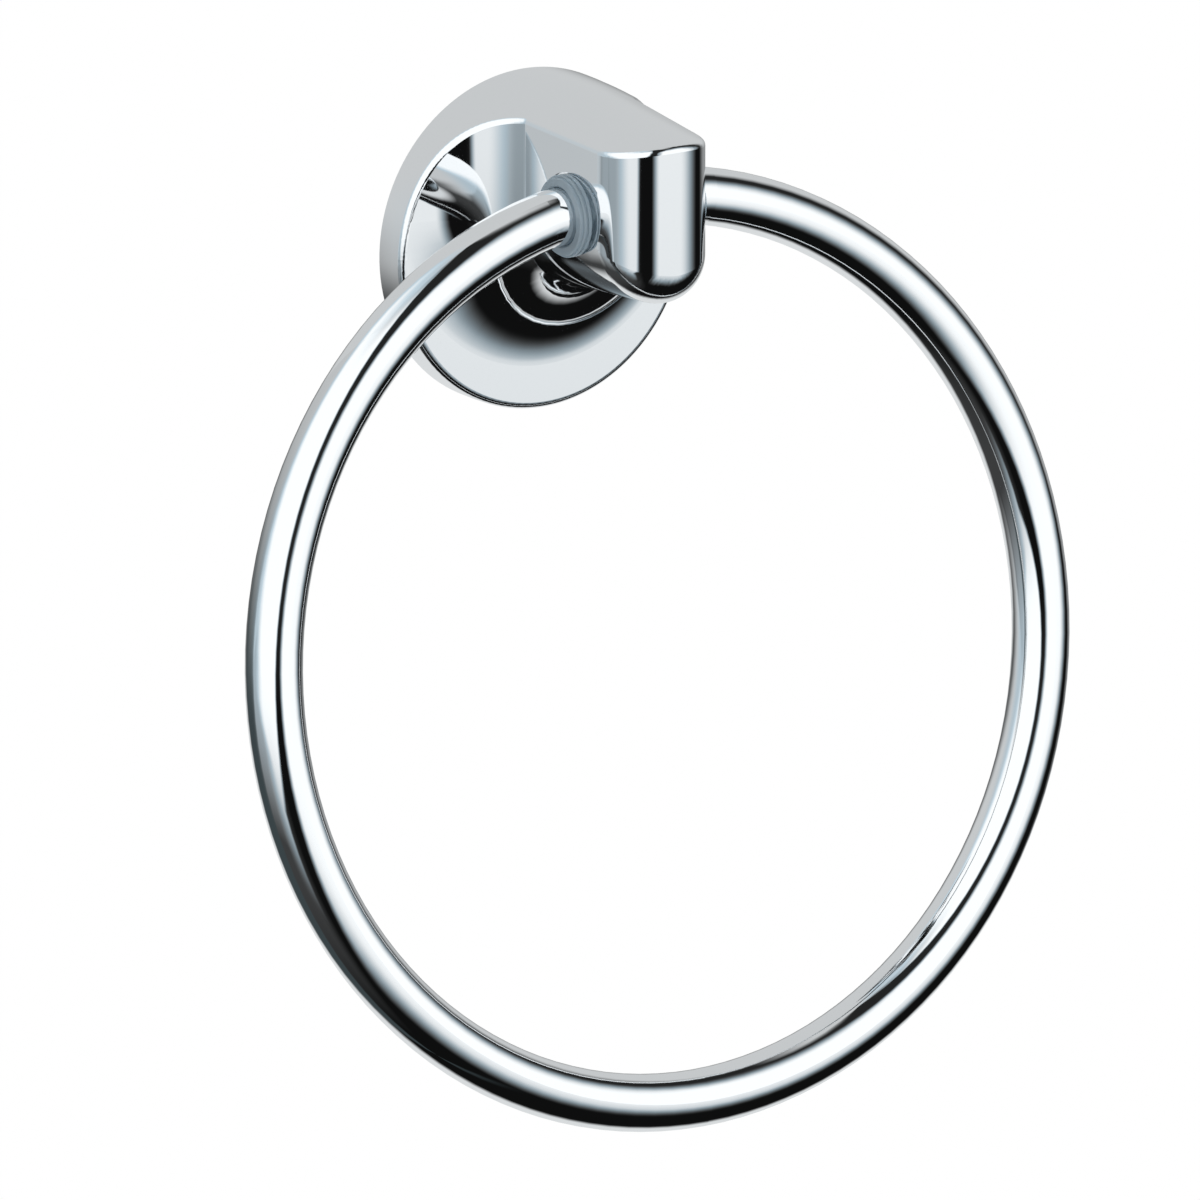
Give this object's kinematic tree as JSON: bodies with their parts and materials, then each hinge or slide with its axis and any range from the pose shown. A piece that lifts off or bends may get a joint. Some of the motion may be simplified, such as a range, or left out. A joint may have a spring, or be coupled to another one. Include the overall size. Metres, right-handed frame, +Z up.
{
  "type": "towel ring",
  "caption": "Wall-mounted towel ring: a polished round ring swings in clear bushes at the nose of a hooded round post with a concealed wall bracket.",
  "frame": {"origin": "centre of the post's round back, on the wall, midway between the bracket's screw holes", "axes": "+Y into the wall, +X to the right as seen from the front, +Z up"},
  "size_m": [0.1664, 0.0596, 0.176],
  "materials": {
    "post_chrome": "mirror polish",
    "ring_chrome": "mirror polish",
    "clear_plastic": "clear, slightly blue",
    "bracket_metal": "plain cast",
    "screw_steel": "plain"
  },
  "bodies": {
    "post": {"post_body": "post_chrome", "left_bush": "clear_plastic", "right_bush": "clear_plastic", "wall_bracket": "bracket_metal", "grub_screw": "screw_steel"},
    "ring": {"ring": "ring_chrome"}
  },
  "joints": [
    {"name": "ring_swing", "type": "hinge", "parent": "post", "child": "ring", "pos_m": [0, -0.0312, 0.0117], "axis": [-1, 0, 0], "range_deg": [-18.3, 180.7]}
  ]
}
